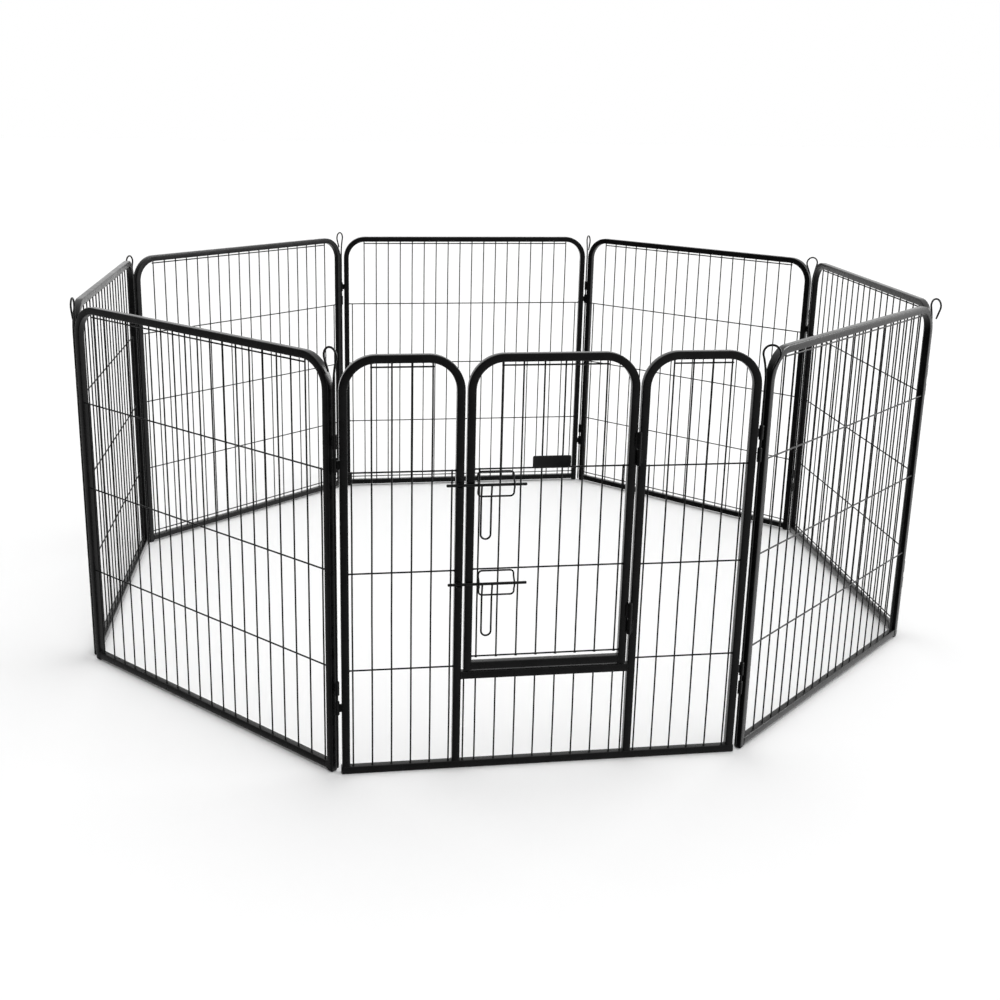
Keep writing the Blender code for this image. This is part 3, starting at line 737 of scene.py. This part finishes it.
def add_front_panel(materials):
    tube_coat, wire_coat = materials["tube_coat"], materials["wire_coat"]
    body = "front_panel"
    piece("front_rail_tube", front_rail(tube_coat), FRONT, body, "tube_coat", "front_rail")
    arches = (
        ("left", AXIS_OFFSET, START_KNUCKLES),
        ("right", SIDE - AXIS_OFFSET - ARCH_WIDTH, END_KNUCKLES),
    )
    for side, left, knuckle_end in arches:
        mesh = front_arch(f"front_arch_{side}", left, knuckle_end, side == "right", tube_coat)
        piece(f"front_arch_{side}_tube", mesh, FRONT, body, "tube_coat", f"front_arch_{side}")
    for side, mirrored in (("left", False), ("right", True)):
        mesh = side_grid(f"front_grid_{side}", mirrored, wire_coat)
        piece(f"front_grid_{side}", mesh, FRONT, body, "wire_coat", f"front_wires_{side}")
    piece("door_sill_bar", sill(tube_coat), FRONT, body, "tube_coat", "door_sill")
    cap = plug("end_cap", 0.0146, 0.0017, 0.0010, materials["plug_plastic"])
    for side, x, turn in (("left", AXIS_OFFSET, 90), ("right", SIDE - AXIS_OFFSET, -90)):
        spot = FRONT @ shift(x, 0, HALF) @ Matrix.Rotation(radians(turn), 4, "Y")
        piece(f"rail_cap_{side}", cap, spot, body, "plug_plastic", f"rail_plug_{side}")
    keeper = bolt_keeper(materials["rod_coat"])
    pin = hinge_pin(materials["rod_coat"])
    for which, (bottom, _) in zip(("lower", "upper"), HINGES):
        spot = FRONT @ shift(DOOR_AXIS.x, DOOR_AXIS.y, bottom)
        piece(f"hinge_rod_{which}", pin, spot, body, "rod_coat", f"door_hinge_pin_{which}")
        low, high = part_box(f"bolt_keeper_{which}")
        spot = shift((low.x + high.x) / 2, high.y, (low.z + high.z) / 2)
        piece(f"bolt_catch_{which}", keeper, spot, body, "rod_coat", f"bolt_keeper_{which}")
    return cap


def add_door(materials, cap):
    body = "door"
    rod_coat = materials["rod_coat"]
    piece("door_tubes", door_tubes(materials["tube_coat"]), FRONT, body, "tube_coat", "door_frame")
    piece("door_grid", door_grid(materials["wire_coat"]), FRONT, body, "wire_coat", "door_wires")
    for side, x in (("left", DOOR_LEFT + HALF), ("right", DOOR_RIGHT - HALF)):
        spot = FRONT @ shift(x, 0, DOOR_FOOT)
        piece(f"door_cap_{side}", cap, spot, body, "plug_plastic", f"door_plug_{side}")
    low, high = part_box("blank_plate")
    spot = Matrix.Translation((low + high) / 2)
    plate = blank_plate(materials["plate_plastic"])
    piece("name_plate", plate, spot, body, "plate_plastic", "blank_plate")
    bolt = latch_bolt(rod_coat)
    for which in ("upper", "lower"):
        guide = bolt_guide(f"guide_{which}", f"bolt_guide_{which}", rod_coat)
        piece(f"guide_loop_{which}", guide, FRONT, body, "rod_coat", f"bolt_guide_{which}")
        low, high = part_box(f"latch_bolt_{which}")
        spot = shift(low.x, low.y + BOLT_RADIUS, high.z - BOLT_RADIUS)
        name = f"latch_bolt_{which}"
        piece(f"slide_bolt_{which}", bolt, spot, name, "rod_coat", name)


def add_pins(materials):
    """Each pin stands where the CAD pin does, and its loop leans the same way."""
    mesh = corner_pin(materials["rod_coat"])
    for name in sorted(frame["nodes"]):
        if not name.startswith("pin_"):
            continue
        verts = [v.co for v in frame["nodes"][name].data.vertices]
        foot = [v for v in verts if v.z < 0.1]
        axis = sum(foot, Vector()) / len(foot)
        top = max(v.z for v in verts)
        loop = [v for v in verts if v.z > top - LOOP_HEIGHT]
        lean = (sum(loop, Vector()) / len(loop) - axis).xy
        turn = Matrix.Rotation(pi - Vector((1, 0)).angle_signed(lean), 4, "Z")
        spot = shift(axis.x, axis.y, min(v.z for v in verts) - PIN_TIP)
        piece(f"{name}_rod", mesh, spot @ turn, name, "rod_coat", name)


# ---------------------------------------------------------------- stage


def add_floor():
    bpy.ops.mesh.primitive_plane_add(size=60, location=(0, 0, 0))
    floor = bpy.context.object
    floor.name = "floor"
    material = bpy.data.materials.new("pale_floor")
    material.use_nodes = True
    tree = material.node_tree
    shader = tree.nodes["Principled BSDF"]
    shader.inputs["Base Color"].default_value = (0.95, 0.95, 0.95, 1)
    shader.inputs["Roughness"].default_value = 0.9
    shader.inputs["Specular IOR Level"].default_value = 0.0
    floor.data.materials.append(material)
    floor.visible_glossy = False


def add_light(name, place, target, size, power, only_glossy=False):
    data = bpy.data.lights.new(name, "AREA")
    data.shape = "RECTANGLE"
    data.size, data.size_y = size
    data.energy = power
    lamp = bpy.data.objects.new(name, data)
    bpy.context.scene.collection.objects.link(lamp)
    lamp.location = place
    lamp.rotation_euler = (Vector(target) - Vector(place)).to_track_quat("-Z", "Y").to_euler()
    lamp.visible_camera = False
    lamp.visible_diffuse = not only_glossy


def add_lights():
    """A sky that is white to the eye, and in reflections bright behind and to the right of the pen."""
    world = bpy.data.worlds.new("studio")
    bpy.context.scene.world = world
    world.use_nodes = True
    tree = world.node_tree
    back = tree.nodes["Background"]
    back.inputs["Color"].default_value = (1, 1, 1, 1)
    place = tree.nodes.new("ShaderNodeTexCoord")
    facing = tree.nodes.new("ShaderNodeVectorMath")
    facing.operation = "DOT_PRODUCT"
    facing.inputs[1].default_value = BRIGHT_SIDE
    sky = tree.nodes.new("ShaderNodeMapRange")
    limits = {"From Min": -0.80, "From Max": 0.45, "To Min": SKY_DARK, "To Max": SKY_BRIGHT}
    for name, value in limits.items():
        sky.inputs[name].default_value = value
    ray = tree.nodes.new("ShaderNodeLightPath")
    mix = tree.nodes.new("ShaderNodeMix")
    mix.inputs["B"].default_value = 1.0
    tree.links.new(place.outputs["Generated"], facing.inputs[0])
    tree.links.new(facing.outputs["Value"], sky.inputs["Value"])
    tree.links.new(ray.outputs["Is Camera Ray"], mix.inputs["Factor"])
    tree.links.new(sky.outputs["Result"], mix.inputs["A"])
    tree.links.new(mix.outputs["Result"], back.inputs["Strength"])
    sun = bpy.data.lights.new("soft_sun", "SUN")
    sun.energy, sun.angle = 1.0, radians(80)
    bpy.context.scene.collection.objects.link(bpy.data.objects.new("soft_sun", sun))
    add_light("right", (4.6, 0.9, 1.5), (0.2, 0, 0.4), (2.4, 2.4), 20)
    add_light("tall_strip", (3.7, -0.5, 2.7), (0.3, -0.9, 0.8), (0.8, 3.4), 240, only_glossy=True)


def add_camera():
    yaw, pitch, roll = CAMERA_YAW, CAMERA_PITCH, CAMERA_ROLL
    ahead = Vector((-sin(yaw) * cos(pitch), cos(yaw) * cos(pitch), -sin(pitch)))
    level = Vector((cos(yaw), sin(yaw), 0))
    upward = level.cross(ahead)
    right = level * cos(roll) + upward * sin(roll)
    up = upward * cos(roll) - level * sin(roll)
    data = bpy.data.cameras.new("camera")
    data.sensor_width = SENSOR
    data.lens = SENSOR * CAMERA_FOCAL
    data.shift_x, data.shift_y = CAMERA_SHIFT
    camera = bpy.data.objects.new("camera", data)
    bpy.context.scene.collection.objects.link(camera)
    turn = Matrix((right, up, -ahead)).transposed().to_4x4()
    camera.matrix_world = Matrix.Translation(CAMERA_PLACE) @ turn
    bpy.context.scene.camera = camera


def build():
    add_camera()
    add_floor()
    add_lights()
    bpy.context.scene.view_settings.view_transform = "Standard"
    materials = make_materials()
    add_plain_panels(materials)
    cap = add_front_panel(materials)
    add_door(materials, cap)
    add_pins(materials)


build()
